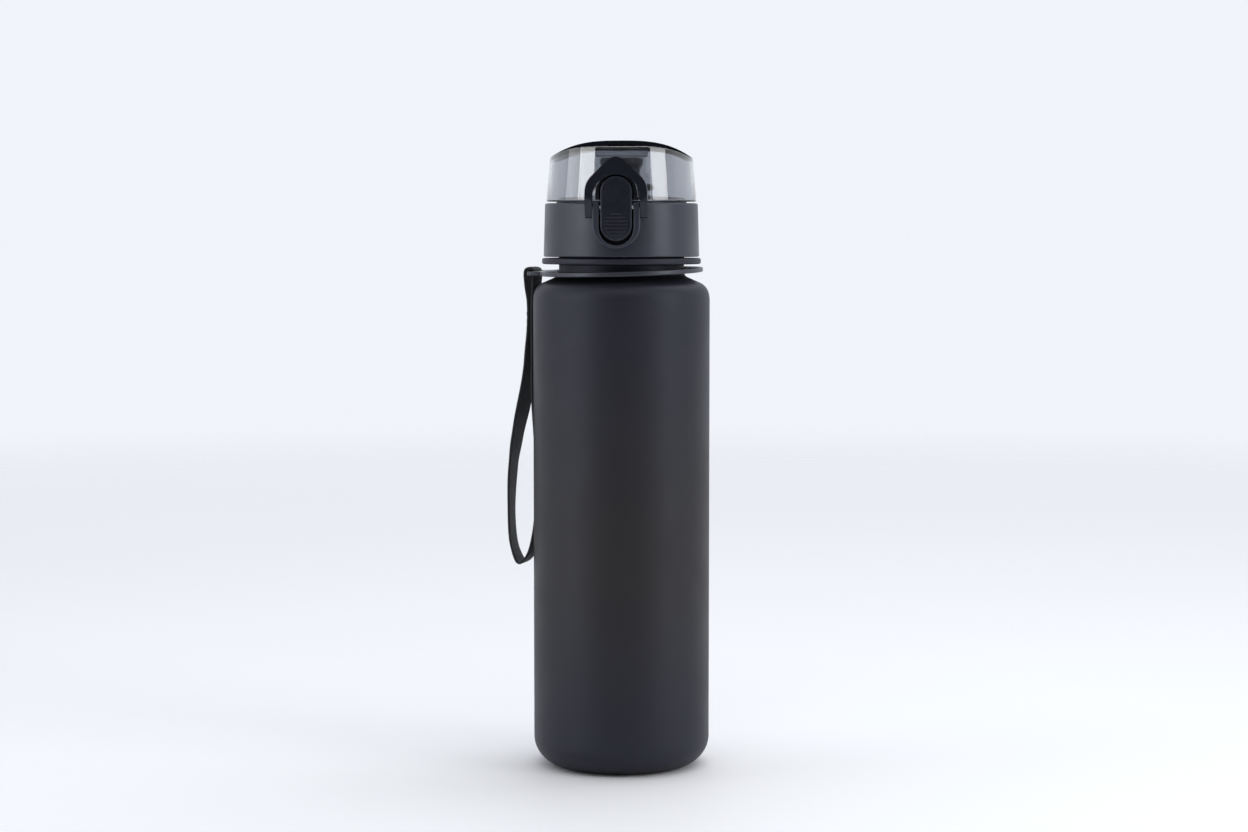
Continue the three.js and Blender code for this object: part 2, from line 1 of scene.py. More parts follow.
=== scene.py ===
"""The looks of a flip-lid sports bottle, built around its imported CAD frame.

Outlines are drawn in millimetres and become metres when a mesh is made. Where a piece shares a height or a
radius with a CAD node, it is read from that node's box.
"""
import json
import math

import bmesh
import bpy
from mathutils import Matrix, Vector

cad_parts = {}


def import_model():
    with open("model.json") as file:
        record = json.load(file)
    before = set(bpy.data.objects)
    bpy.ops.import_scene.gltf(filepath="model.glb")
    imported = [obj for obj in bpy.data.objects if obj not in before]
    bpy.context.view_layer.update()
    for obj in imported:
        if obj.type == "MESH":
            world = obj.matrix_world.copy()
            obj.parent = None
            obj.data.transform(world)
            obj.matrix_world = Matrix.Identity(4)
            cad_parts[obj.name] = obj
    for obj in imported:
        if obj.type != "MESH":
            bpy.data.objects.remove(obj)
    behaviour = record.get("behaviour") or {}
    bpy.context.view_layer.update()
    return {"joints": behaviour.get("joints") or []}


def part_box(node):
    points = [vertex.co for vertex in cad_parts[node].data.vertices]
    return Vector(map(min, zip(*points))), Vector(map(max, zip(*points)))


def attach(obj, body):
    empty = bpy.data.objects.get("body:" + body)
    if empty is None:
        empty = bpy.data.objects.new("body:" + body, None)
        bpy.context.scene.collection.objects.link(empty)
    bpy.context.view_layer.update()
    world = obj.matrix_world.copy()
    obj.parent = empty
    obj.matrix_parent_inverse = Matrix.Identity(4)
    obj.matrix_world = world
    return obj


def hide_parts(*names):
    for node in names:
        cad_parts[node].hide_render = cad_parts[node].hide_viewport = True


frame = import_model()

MM = 0.001


# ---------------------------------------------------------------- places taken from the frame

def node_box(node):
    """Lowest and highest corner of a CAD node, in millimetres."""
    low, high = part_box(node)
    return low / MM, high / MM


def joint_named(name):
    return next(j for j in frame["joints"] if j["name"] == name)


def joint_place(name):
    """A point on a joint's axis, in millimetres."""
    return Vector(joint_named(name)["pos_m"]) / MM


BODY_HIGH = node_box("bottle_body")[1]
COLLAR_LOW, COLLAR_HIGH = node_box("lid_collar")
CORE_LOW, CORE_HIGH = node_box("lid_core")
CAP_HIGH = node_box("cap_shell")[1]
SPOUT_LOW, SPOUT_HIGH = node_box("spout")
BUTTON_LOW, BUTTON_HIGH = node_box("latch_button")
CATCH_LOW, CATCH_HIGH = node_box("cap_catch")
LOCK_LOW, LOCK_HIGH = node_box("lock_ring")

BODY_R = BODY_HIGH.x
NECK_TOP = BODY_HIGH.z
COLLAR_R = COLLAR_HIGH.x
CORE_R = CORE_HIGH.x
CAP_R = CAP_HIGH.x
HINGE = joint_place("cap_open")
BUTTON_AXIS = joint_place("button_press")
LOCK_AXIS = joint_place("lock_flip")
EAR_BAR = joint_place("strap_swing")
EAR_ANGLE = math.atan2(EAR_BAR.y, EAR_BAR.x)
RING_MIDDLE = joint_place("strap_ring_turn")
RING_TILT = math.asin((RING_MIDDLE.z - EAR_BAR.z) / EAR_BAR.xy.length)
RING_LEAN = math.radians(1.5)      # how far its front hangs lower than its back


# ---------------------------------------------------------------- mesh tools

def placed(name, data):
    """A new object in the scene that shows the given data."""
    obj = bpy.data.objects.new(name, data)
    bpy.context.scene.collection.objects.link(obj)
    return obj


def fillet(corners, closed=False, steps=6):
    """Points of an outline whose corners are (a, b) or (a, b, radius)."""
    count = len(corners)
    points = []
    for i, corner in enumerate(corners):
        here = Vector(corner[:2])
        radius = corner[2] if len(corner) > 2 else 0.0
        inside = closed or 0 < i < count - 1
        if radius <= 0 or not inside:
            points.append(here)
            continue
        back = (Vector(corners[i - 1][:2]) - here).normalized()
        ahead = (Vector(corners[(i + 1) % count][:2]) - here).normalized()
        half = math.acos(max(-1.0, min(1.0, back.dot(ahead)))) / 2
        cut = radius / math.tan(half)
        centre = here + (back + ahead).normalized() * (radius / math.sin(half))
        first = here + back * cut - centre
        turn = first.angle_signed(here + ahead * cut - centre)
        for k in range(steps + 1):
            spin = Matrix.Rotation(-turn * k / steps, 2)
            points.append(centre + spin @ first)
    return points


def rectangle(low, high, bottom, top, radius):
    """A closed outline with rounded corners."""
    corners = [(low, bottom, radius), (high, bottom, radius), (high, top, radius), (low, top, radius)]
    return fillet(corners, closed=True)


def arc(centre, radius, start, end, steps):
    """Points along an arc, with angles in degrees."""
    points = []
    for k in range(steps + 1):
        angle = math.radians(start + (end - start) * k / steps)
        points.append(Vector((centre[0] + radius * math.cos(angle), centre[1] + radius * math.sin(angle))))
    return points


def bezier(start, first, second, end, steps):
    """Points along a cubic curve, both ends included."""
    points = []
    for k in range(steps + 1):
        t = k / steps
        s = 1 - t
        points.append(
            s ** 3 * Vector(start) + 3 * s * s * t * Vector(first)
            + 3 * s * t * t * Vector(second) + t ** 3 * Vector(end)
        )
    return points


SAME_PLACE_M = 2e-6      # corners closer than this are one corner


def tidy(obj, sharp=35):
    """Merges what touches, turns the faces outwards and shades all but the sharp edges smoothly."""
    mesh = bmesh.new()
    mesh.from_mesh(obj.data)
    bmesh.ops.remove_doubles(mesh, verts=mesh.verts, dist=SAME_PLACE_M)
    bmesh.ops.recalc_face_normals(mesh, faces=mesh.faces)
    mesh.to_mesh(obj.data)
    mesh.free()
    obj.data.shade_smooth()
    obj.data.set_sharp_from_angle(angle=math.radians(sharp))
    return obj


def mesh_object(name, points, faces):
    """An object from points in millimetres."""
    mesh = bpy.data.meshes.new(name)
    mesh.from_pydata([Vector(p) * MM for p in points], [], faces)
    return tidy(placed(name, mesh))


def revolve(name, profile, facets=192, closed=True):
    """A profile of (radius, z) turned about Z. An open profile starts and ends on the axis."""
    points = []
    rings = []
    for r, z in profile:
        on_axis = r < 1e-6
        if on_axis:
            rings.append([len(points)] * facets)
            points.append((0, 0, z))
            continue
        rings.append(range(len(points), len(points) + facets))
        for k in range(facets):
            angle = 2 * math.pi * k / facets
            points.append((r * math.cos(angle), r * math.sin(angle), z))
    faces = []
    pairs = list(zip(rings, rings[1:]))
    if closed:
        pairs.append((rings[-1], rings[0]))
    for low, high in pairs:
        for k in range(facets):
            n = (k + 1) % facets
            corners = [low[k], low[n], high[n], high[k]]
            face = [c for i, c in enumerate(corners) if c not in corners[:i]]
            if len(face) > 2:
                faces.append(face)
    return mesh_object(name, points, faces)


def turned_shape(name, profile_at, facets):
    """Like an open revolve, but profile_at(angle) gives each angle a profile of its own."""
    points = []
    for k in range(facets):
        angle = 2 * math.pi * k / facets
        points += [(r * math.cos(angle), r * math.sin(angle), z) for r, z in profile_at(angle)]
    count = len(points) // facets
    faces = []
    for k in range(facets):
        a, b = k * count, (k + 1) % facets * count
        faces += [(a + i, b + i, b + i + 1, a + i + 1) for i in range(count - 1)]
    return mesh_object(name, points, faces)


def from_evaluated(obj):
    """Applies an object's modifiers, or turns a curve into a mesh, under the same name."""
    graph = bpy.context.evaluated_depsgraph_get()
    mesh = bpy.data.meshes.new_from_object(obj.evaluated_get(graph))
    name = obj.name
    data = obj.data
    made = placed(name + ".made", mesh)
    bpy.data.objects.remove(obj)
    if data.users == 0 and isinstance(data, bpy.types.Curve):
        bpy.data.curves.remove(data)
    made.name = name
    return made


def plate(name, outlines, low, high, bevel, plane):
    """A flat shape with holes and rounded edges.

    plane says which axes the outlines' two numbers are. low and high are its faces along the third axis.
    """
    curve = bpy.data.curves.new(name, "CURVE")
    curve.dimensions = "2D"
    curve.fill_mode = "BOTH"
    curve.bevel_resolution = 3
    curve.bevel_depth = bevel * MM
    curve.offset = -bevel * MM
    curve.extrude = ((high - low) / 2 - bevel) * MM
    for outline in outlines:
        spline = curve.splines.new("POLY")
        spline.points.add(len(outline) - 1)
        for point, (u, v) in zip(spline.points, outline):
            point.co = (u * MM, v * MM, 0, 1)
        spline.use_cyclic_u = True
    obj = from_evaluated(placed(name, curve))
    middle = (low + high) / 2 * MM
    turns = {
        "xy": Matrix(((1, 0, 0, 0), (0, 1, 0, 0), (0, 0, 1, middle), (0, 0, 0, 1))),
        "xz": Matrix(((1, 0, 0, 0), (0, 0, -1, middle), (0, 1, 0, 0), (0, 0, 0, 1))),
        "yz": Matrix(((0, 0, 1, middle), (1, 0, 0, 0), (0, 1, 0, 0), (0, 0, 0, 1))),
    }
    obj.data.transform(turns[plane])
    return tidy(obj)


def boolean(obj, other, operation):
    """Cuts, joins or crosses obj with other, and removes other."""
    step = obj.modifiers.new("boolean", "BOOLEAN")
    step.operation = operation
    step.solver = "EXACT"
    step.object = other
    obj = from_evaluated(obj)
    bpy.data.objects.remove(other)
    return tidy(obj)


def joined(name, objects):
    """One object from several, keeping each one's faces."""
    mesh = bmesh.new()
    for part in objects:
        mesh.from_mesh(part.data)
    data = bpy.data.meshes.new(name)
    mesh.to_mesh(data)
    mesh.free()
    for part in objects:
        bpy.data.objects.remove(part)
    return tidy(placed(name, data))


def wire(name, points, radius, sides=12):
    """A round wire along points, with closed ends."""
    curve = bpy.data.curves.new(name, "CURVE")
    curve.dimensions = "3D"
    curve.bevel_depth = radius * MM
    curve.bevel_resolution = sides // 4
    curve.use_fill_caps = True
    spline = curve.splines.new("POLY")
    spline.points.add(len(points) - 1)
    for point, place in zip(spline.points, points):
        point.co = (*(Vector(place) * MM), 1)
    return tidy(from_evaluated(placed(name, curve)))


def cross_bar(name, radius, low, high, axis):
    """A round bar along X with rounded ends, whose middle line passes through axis."""
    facets = 48
    rounding = 0.15
    outline = arc((0, 0), radius, 0, 360 - 360 / facets, facets - 1)
    bar = plate(name, [outline], low, high, rounding, "yz")
    bar.data.transform(Matrix.Translation((0, axis.y * MM, axis.z * MM)))
    return bar


def swept(name, centres, sections, closed):
    """Sections round the centres, joined one to the next: a closed loop, or a bar with flat ends."""
    count = len(sections[0])
    total = len(centres)
    points = [centre + offset for centre, section in zip(centres, sections) for offset in section]
    faces = []
    for i in range(total if closed else total - 1):
        a, b = i * count, (i + 1) % total * count
        for k in range(count):
            n = (k + 1) % count
            faces.append((a + k, a + n, b + n, b + k))
    if not closed:
        faces.append(tuple(range(count)))
        faces.append(tuple(range(len(points) - count, len(points))))
    return mesh_object(name, points, faces)


# ---------------------------------------------------------------- material tools

def map_range(node, from_low, from_high, to_low, to_high):
    """Sets the two ranges of a Map Range node."""
    node.inputs["From Min"].default_value = from_low
    node.inputs["From Max"].default_value = from_high
    node.inputs["To Min"].default_value = to_low
    node.inputs["To Max"].default_value = to_high


class Finish:
    """A material with one Principled shader, and shortcuts for its detail."""

    def __init__(self, name, color, roughness, **sockets):
        self.material = bpy.data.materials.new(name)
        self.material.use_nodes = True
        self.tree = self.material.node_tree
        self.shader = self.tree.nodes["Principled BSDF"]
        self.color = color
        self.shader.inputs["Base Color"].default_value = (*color, 1)
        self.shader.inputs["Roughness"].default_value = roughness
        for socket, value in sockets.items():
            self.shader.inputs[socket.replace("_", " ")].default_value = value
        self.normal = None
        self.place = self.node("ShaderNodeTexCoord").outputs["Object"]

    def node(self, kind, **values):
        made = self.tree.nodes.new(kind)
        for name, value in values.items():
            setattr(made, name, value)
        return made

    def link(self, output, socket):
        self.tree.links.new(output, socket)

    def noise(self, scale, detail, stretch=(1, 1, 1)):
        """A noise from 0 to 1 with about scale patches to a metre."""
        mapping = self.node("ShaderNodeMapping")
        mapping.inputs["Scale"].default_value = stretch
        self.link(self.place, mapping.inputs["Vector"])
        noise = self.node("ShaderNodeTexNoise")
        noise.inputs["Scale"].default_value = scale
        noise.inputs["Detail"].default_value = detail
        self.link(mapping.outputs["Vector"], noise.inputs["Vector"])
        return noise.outputs["Fac"]

    def ramp(self, value, low, high, to_low=0.0, to_high=1.0):
        """The value's range from low to high, spread over another range and level past its ends."""
        change = self.node("ShaderNodeMapRange")
        map_range(change, low, high, to_low, to_high)
        self.link(value, change.inputs["Value"])
        return change.outputs["Result"]

    def bump(self, height, distance, strength):
        """Relief on top of any that is there already. distance is in metres."""
        bump = self.node("ShaderNodeBump")
        bump.inputs["Strength"].default_value = strength
        bump.inputs["Distance"].default_value = distance
        self.link(height, bump.inputs["Height"])
        if self.normal is not None:
            self.link(self.normal, bump.inputs["Normal"])
        self.normal = bump.outputs["Normal"]
        self.link(self.normal, self.shader.inputs["Normal"])

    def tint(self, factor, other):
        """Base colour runs from what it was to other as factor goes from 0 to 1."""
        mix = self.node("ShaderNodeMix", data_type="RGBA")
        source = self.shader.inputs["Base Color"]
        if source.is_linked:
            self.link(source.links[0].from_socket, mix.inputs["A"])
        else:
            mix.inputs["A"].default_value = (*self.color, 1)
        mix.inputs["B"].default_value = (*other, 1)
        self.link(factor, mix.inputs["Factor"])
        self.link(mix.outputs["Result"], source)

    def mottle(self, scale, detail, share, other, start=0.4, end=0.7):
        """Soft patches of another colour. share is how much of it the strongest ones take."""
        self.tint(self.ramp(self.noise(scale, detail), start, end, 0, share), other)

    def rough(self, factor, low, high):
        """Roughness runs from low to high over the middle of the factor's range."""
        self.link(self.ramp(factor, 0.3, 0.7, low, high), self.shader.inputs["Roughness"])

    def height(self):
        """Height over the base, in metres."""
        split = self.node("ShaderNodeSeparateXYZ")
        self.link(self.place, split.inputs["Vector"])
        return split.outputs["Z"]

    def levelness(self):
        """1 where the surface lies level, 0 where it stands upright."""
        split = self.node("ShaderNodeSeparateXYZ")
        self.link(self.node("ShaderNodeNewGeometry").outputs["Normal"], split.inputs["Vector"])
        size = self.node("ShaderNodeMath", operation="ABSOLUTE")
        self.link(split.outputs["Z"], size.inputs[0])
        return size.outputs["Value"]

    def fade_out(self, near, far):
        """The surface is solid up to the near radius and gone at the far one."""
        length = self.node("ShaderNodeVectorMath", operation="LENGTH")
        self.link(self.place, length.inputs[0])
        solid = self.ramp(length.outputs["Value"], near, far, 1, 0)
        self.link(solid, self.shader.inputs["Alpha"])

    def multiply(self, a, b):
        times = self.node("ShaderNodeMath", operation="MULTIPLY")
        self.link(a, times.inputs[0])
        self.link(b, times.inputs[1])
        return times.outputs["Value"]


COOL_SHINE = (0.84, 0.88, 1.0, 1)


def frosted_body():
    """Dark and cool, with a painted warm glow between its foot and its shoulder, where light shows through
    the frosted wall.
    """
    look = Finish(
        "frosted_body", (0.0135, 0.0138, 0.021), 0.48,
        Specular_IOR_Level=0.34, Specular_Tint=(0.8, 0.84, 1.0, 1),
    )
    look.mottle(14, 3, 0.5, (0.0155, 0.0155, 0.0215), 0.35, 0.75)
    # Painted glow: a warmer tint by height stands in for light shining through the frosted wall.
    glow_from, glow_full, glow_to_fade, glow_gone = 0.01, 0.07, 0.09, 0.175
    rising = look.ramp(look.height(), glow_from, glow_full)
    falling = look.ramp(look.height(), glow_gone, glow_to_fade)
    look.tint(look.multiply(rising, falling), (0.0185, 0.0165, 0.0155))
    look.rough(look.noise(60, 4), 0.46, 0.54)
    look.bump(look.noise(2600, 2), 0.00002, 0.35)
    look.bump(look.noise(40, 2), 0.0002, 0.12)
    return look.material


def satin_collar():
    look = Finish("satin_collar", (0.024, 0.0255, 0.037), 0.38, Specular_Tint=COOL_SHINE)
    look.mottle(30, 3, 0.5, (0.028, 0.0295, 0.041))
    look.rough(look.noise(90, 3), 0.33, 0.42)
    look.bump(look.noise(3200, 2), 0.000015, 0.4)
    look.bump(look.noise(160, 2, (0.15, 0.15, 1)), 0.00003, 0.25)
    return look.material


def satin_ring():
    look = Finish("satin_ring", (0.03, 0.0315, 0.041), 0.34, Specular_Tint=COOL_SHINE)
    look.rough(look.noise(120, 3), 0.28, 0.4)
    look.mottle(50, 2, 0.5, (0.036, 0.0375, 0.048))
    look.bump(look.noise(2800, 2), 0.000015, 0.3)
    return look.material


def gloss_black():
    look = Finish("gloss_black", (0.008, 0.009, 0.014), 0.16, Specular_Tint=(0.8, 0.85, 1.0, 1))
    look.mottle(80, 3, 0.5, (0.013, 0.014, 0.02))
    look.rough(look.noise(220, 4), 0.12, 0.24)
    look.bump(look.noise(500, 2), 0.00002, 0.15)
    return look.material


def button_black():
    look = Finish("button_black", (0.0085, 0.0095, 0.015), 0.3, Specular_Tint=COOL_SHINE)
    look.mottle(120, 3, 0.5, (0.0115, 0.0125, 0.019))
    look.rough(look.noise(180, 4), 0.24, 0.34)
    look.bump(look.noise(3000, 2), 0.000015, 0.35)
    return look.material


def smoked_plastic():
    """Clear and grey, with a painted dark reflection, dark and without shine, where its level top is seen
    edge on.
    """
    clear_ior = 1.49
    look = Finish(
        "smoked_plastic", (0.50, 0.52, 0.555), 0.03,
        Transmission_Weight=1.0, Coat_IOR=1.7,
    )
    look.mottle(25, 2, 0.5, (0.47, 0.49, 0.525))
    # Painted reflection: the level top seen edge on is tinted near black, standing in for the dark
    # surroundings it would reflect.
    grazing = look.ramp(look.node("ShaderNodeLayerWeight").outputs["Facing"], 0.6, 0.8)
    painted_reflection_mask = look.multiply(grazing, look.ramp(look.levelness(), 0.3, 0.6))
    look.tint(painted_reflection_mask, (0.006, 0.0065, 0.009))
    look.link(look.ramp(painted_reflection_mask, 0, 1, 1, 0), look.shader.inputs["Coat Weight"])
    look.link(look.ramp(painted_reflection_mask, 0, 1, clear_ior, 1.0), look.shader.inputs["IOR"])
    look.rough(look.noise(70, 3), 0.015, 0.05)
    look.bump(look.noise(45, 2), 0.00006, 0.1)
    return look.material


def clear_silicone():
    look = Finish("clear_silicone", (0.9, 0.92, 0.96), 0.3, Transmission_Weight=1.0, IOR=1.2)
    look.mottle(90, 3, 0.6, (0.82, 0.84, 0.88))
    look.bump(look.noise(900, 2), 0.00003, 0.3)
    return look.material


def seal_rubber():
    look = Finish("seal_rubber", (0.028, 0.028, 0.031), 0.6)
    look.rough(look.noise(200, 3), 0.52, 0.68)
    look.mottle(150, 3, 0.6, (0.04, 0.04, 0.043))
    look.bump(look.noise(1500, 2), 0.00004, 0.4)
    return look.material


def steel_wire():
    look = Finish("steel_wire", (0.58, 0.58, 0.57), 0.3, Metallic=1.0)
    look.rough(look.noise(400, 3, (0.2, 1, 1)), 0.2, 0.42)
    look.mottle(300, 3, 0.6, (0.4, 0.4, 0.39), 0.45)
    look.bump(look.noise(1200, 2, (0.2, 1, 1)), 0.00002, 0.3)
    return look.material


def black_webbing():
    look = Finish(
        "black_webbing", (0.0105, 0.011, 0.0155), 0.85,
        Sheen_Weight=0.35, Sheen_Roughness=0.5, Sheen_Tint=(0.5, 0.5, 0.55, 1),
    )
    look.mottle(700, 3, 0.8, (0.021, 0.0215, 0.029))
    look.bump(look.noise(5000, 2), 0.00008, 0.6)
    return look.material


def sewing_thread():
    look = Finish("sewing_thread", (0.03, 0.03, 0.034), 0.7, Sheen_Weight=0.3)
    look.mottle(2500, 2, 1.0, (0.05, 0.05, 0.055))
    look.bump(look.noise(6000, 2), 0.00005, 0.6)
    return look.material


LOOKS = {
    make.__name__: make()
    for make in (
        frosted_body, satin_collar, satin_ring, gloss_black, button_black, smoked_plastic,
        clear_silicone, seal_rubber, steel_wire, black_webbing, sewing_thread,
    )
}


def finished(obj, look, body, slot, *nodes):
    """Gives a piece its material and its body, and hides the CAD nodes that it stands for. slot is not
    used.
    """
    obj.data.materials.clear()
    obj.data.materials.append(LOOKS[look])
    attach(obj, body)
    if nodes:
        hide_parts(*nodes)
    return obj


# ---------------------------------------------------------------- bottle

THREAD_LEAD = 4.0
THREAD_TURNS = 2.4
THREAD_START = 190.6
NECK_CREST = 24.4      # radius of the neck's ridge at its crest
LID_CREST = 23.8       # and of the lid's, which points inwards
RIDGE_STEPS = 96       # to a turn
RIDGE_SUNK = 0.5       # how far the ridge's root lies inside the wall
RIDGE_HALF = 1.15
RIDGE_FADE = 14        # the ridge is at its full depth after 1/14 of its length
RIDGE_END = 0.02       # what is left of its depth at its very ends
RIDGE_SECTION = [      # shares of the ridge's depth, and heights
    (0, -1.1), (0.55, -0.85), (0.92, -0.5), (1, 0), (0.92, 0.5), (0.55, 0.85), (0, 1.1),
]


def helix_ridge(name, root, crest, start):
    """A screw ridge of rounded section that runs out at both ends. root and crest are radii."""
    steps = int(THREAD_TURNS * RIDGE_STEPS)
    centres = []
    sections = []
    depth = crest - root
    for k in range(steps + 1):
        t = k / steps
        angle = 2 * math.pi * THREAD_TURNS * t
        out = Vector((math.cos(angle), math.sin(angle), 0))
        fade = min(1.0, RIDGE_FADE * t, RIDGE_FADE * (1 - t)) ** 0.5 if 0 < t < 1 else RIDGE_END
        sunk = out * (-RIDGE_SUNK * math.copysign(1, depth))
        section = [out * (depth * share * fade) + Vector((0, 0, z)) for share, z in RIDGE_SECTION]
        centres.append(out * root + Vector((0, 0, start + THREAD_LEAD * THREAD_TURNS * t)))
        sections.append([
            sunk + Vector((0, 0, -RIDGE_HALF)), *section, sunk + Vector((0, 0, RIDGE_HALF)),
        ])
    return swept(name, centres, sections, closed=False)


def bottle():
    corner = 10.5
    flat = BODY_R - corner
    shoulder_z = 171.8
    neck = 23.0
    neck_foot = (25.2, 180.2)
    flange_r, flange_z, flange_top = 29.2, 185.4, 187.6
    ditch_in, ditch_out, ditch_z = 9, 18, 0.8
    profile = fillet([
        (0, 0), (ditch_in, 0, 0.6), (ditch_in + 1, ditch_z, 0.5), (ditch_out - 1, ditch_z, 0.5),
        (ditch_out, 0, 0.6), (flat, 0),
    ])
    profile += arc((flat, corner), corner, -90, 0, 20)[1:]
    bands = 12
    profile += [Vector((BODY_R, corner + (shoulder_z - corner) * k / bands)) for k in range(1, bands)]
    profile += bezier((BODY_R, shoulder_z), (BODY_R, 176), (31, 177.8), (27.9, 179), 18)
    profile += bezier(neck_foot, (24.0, 180.7), (neck, 181.1), (neck, 182.8), 8)

    inner = BODY_R - 2.2
    bore = 20.6
    floor_top = 3
    profile += fillet([
        (neck, 183.5), (neck, flange_z, 0.5), (flange_r, flange_z, 0.7), (flange_r, flange_top, 0.7),
        (neck, flange_top, 0.4), (neck, NECK_TOP, 0.6), (bore, NECK_TOP, 0.5), (bore, 184),
    ], steps=5)[:-1]
    profile += bezier((bore, 181.8), (bore, 178.5), (inner, 177.8), (inner, 171.3), 12)
    profile += bezier((inner, 11), (inner, 5.5), (27.5, floor_top), (flat, floor_top), 12)
    profile += [Vector((0, floor_top))]
    shell = revolve("bottle_shell", profile, 256, closed=False)
    thread = helix_ridge("neck_thread", neck, NECK_CREST, THREAD_START)
    finished(thread, "frosted_body", "bottle", "bottle_body")
    finished(shell, "frosted_body", "bottle", "bottle_body", "bottle_body")


def strap_ring():
    """The loose ring round the neck, whose ear has a slot for the strap. It is drawn with the ear at +X."""
    ring_r = 30.0
    hole_r = 24.2
    thick = 1.6
    ear_reach = 34.8
    ear_half = 7.5
    slot_in, slot_out, slot_half = 31.2, 33.7, 5.7
    half = math.degrees(math.asin(ear_half / ring_r))
    outline = arc((0, 0), ring_r, half, 360 - half, 150)
    outline += fillet([
        (ring_r, -ear_half), (ear_reach, -ear_half, 2.2), (ear_reach, ear_half, 2.2), (ring_r, ear_half),
    ])[1:-1]
    hole = arc((0, 0), hole_r, 0, 357.5, 143)
    slot = rectangle(slot_in, slot_out, -slot_half, slot_half, 0.7)
    ring = plate("ring_with_ear", [outline, hole, slot], -thick / 2, thick / 2, 0.35, "xy")
    turn = Matrix.Rotation(EAR_ANGLE, 4, "Z") @ Matrix.Rotation(RING_TILT, 4, "Y")
    turn = turn @ Matrix.Rotation(-RING_LEAN, 4, "X")
    ring.data.transform(Matrix.Translation(RING_MIDDLE * MM) @ turn)
    finished(ring, "satin_ring", "ring", "strap_ring", "strap_ring")


# ---------------------------------------------------------------- wrist strap

STRAP_WIDTH = 10.0
STRAP_THICK = 1.1
# The loop's middle line as (distance from the bottle's axis, height), down its outer strand, up its inner.
STRAP_ROUTE = [
    (34.2, 183.75), (35.4, 183.4), (35.95, 182.1), (35.9, 179.5), (35.5, 176.0), (34.85, 172.0),
    (34.65, 167.0), (34.75, 160.0), (35.15, 154.0), (35.75, 146.5), (36.7, 139.5), (38.1, 132.2),
    (39.6, 125.5), (40.9, 118.7), (42.1, 110.5), (42.75, 101.5), (42.9, 91.5), (42.4, 83.0),
    (41.2, 77.8), (39.3, 74.0), (37.3, 74.3), (35.3, 76.9), (34.1, 81.0), (33.45, 88.0),
    (33.35, 98.0), (33.3, 118.0), (33.3, 142.0), (33.3, 166.0), (33.15, 173.0), (32.7, 178.5),
    (32.45, 182.1), (32.9, 183.35),
]
# Degrees at each height: the outer strand's turn about itself, and the inner one's about the bottle.
TWIST = [(72, 0), (80, -4), (92, -5), (110, 0), (120, 6), (132, 11.5), (150, 6), (168, 0)]
SWAY = [(74, 0), (92, -8), (115, -8), (142, 0)]


def smooth_route(route, steps):
    """A Catmull-Rom curve round the closed route, from its first point back to it."""
    count = len(route)
    points = []
    for i in range(count):
        a, b, c, d = (Vector(route[(i + k) % count]) for k in (-1, 0, 1, 2))
        for k in range(steps):
            t = k / steps
            points.append(0.5 * (
                2 * b + (c - a) * t + (2 * a - 5 * b + 4 * c - d) * t * t
                + (3 * b - a - 3 * c + d) * t ** 3
            ))
    return points + [points[0]]


def evenly(points, spacing, multiple):
    """The closed line with its points about one spacing apart, in a multiple of the given count."""
    total = sum((b - a).length for a, b in zip(points, points[1:]))
    count = round(total / spacing / multiple) * multiple
    step = total / count
    out = []
    along = 0.0
    for a, b in zip(points, points[1:]):
        span = (b - a).length
        while len(out) < count and len(out) * step <= along + span:
            out.append(a.lerp(b, (len(out) * step - along) / span))
        along += span
    return out


def eased(table, z):
    """A value that runs smoothly through a table of (z, value) and stays level past its ends."""
    if z <= table[0][0]:
        return table[0][1]
    for (low, a), (high, b) in zip(table, table[1:]):
        if z <= high:
            t = (z - low) / (high - low)
            return a + (b - a) * t * t * (3 - 2 * t)
    return table[-1][1]


RIB_PITCH = 0.8      # the webbing's cross ribs
RIB_STEPS = 4
RIB_DEPTH = 0.07
SELVAGE_DEPTH = 0.1
OUT = Vector((math.cos(EAR_ANGLE), math.sin(EAR_ANGLE), 0))
ACROSS = Vector((-math.sin(EAR_ANGLE), math.cos(EAR_ANGLE), 0))


def webbing_section():
    """The webbing's section as shares of its half width and half thickness."""
    edge = [(1.0, 0.35), (0.965, 0.8), (0.88, 0.92), (0.84, 0.86), (0.5, 1)]
    upper = [(-u, v) for u, v in edge] + [(0, 1)] + edge[::-1]
    return upper + [(u, -v) for u, v in reversed(upper)]


def ribbed_ring(side, across, phase):
    """The webbing's section as offsets. side points out of its face, and phase is the rib's."""
    half = STRAP_WIDTH / 2 - SELVAGE_DEPTH
    thick = STRAP_THICK / 2 - RIB_DEPTH
    ring = []
    for u, v in webbing_section():
        selvage = SELVAGE_DEPTH * math.cos(phase + math.pi) if abs(u) > 0.9 else 0.0
        swell = RIB_DEPTH * math.cos(phase) if abs(u) < 0.95 else 0.0
        width = u * half + math.copysign(selvage, u)
        height = v * thick + math.copysign(swell, v)
        ring.append(across * width + side * height)
    return ring


# One stitch, as shares of its length and of how far it stands out.
STITCH_SHAPE = [(0, -1.2), (0.15, 0.6), (0.5, 1), (0.85, 0.6), (1, -1.2)]


def stitches(z_low, rows, columns):
    """Short slanting stitches across the outer face where the two ends of the webbing meet."""
    row_pitch, column_pitch = 1.35, 1.8
    first_across = -4.2
    length, slant, bulge, thread_r = 1.2, 0.5, 0.16, 0.17
    strand_out, splay_z, splay = 34.68, 163, 0.03      # the strand leans out below splay_z
    made = []
    for row in range(rows):
        z = z_low + row * row_pitch
        face = strand_out + max(0.0, splay_z - z) * splay + STRAP_THICK / 2
        lean = ACROSS * length + Vector((0, 0, slant if row % 2 else -slant))
        for column in range(columns):
            start = OUT * face + ACROSS * (first_across + column * column_pitch) + Vector((0, 0, z))
            path = [start + lean * along + OUT * bulge * up for along, up in STITCH_SHAPE]
            made.append(wire(f"stitch_{row}_{column}", path, thread_r, 8))
    return made


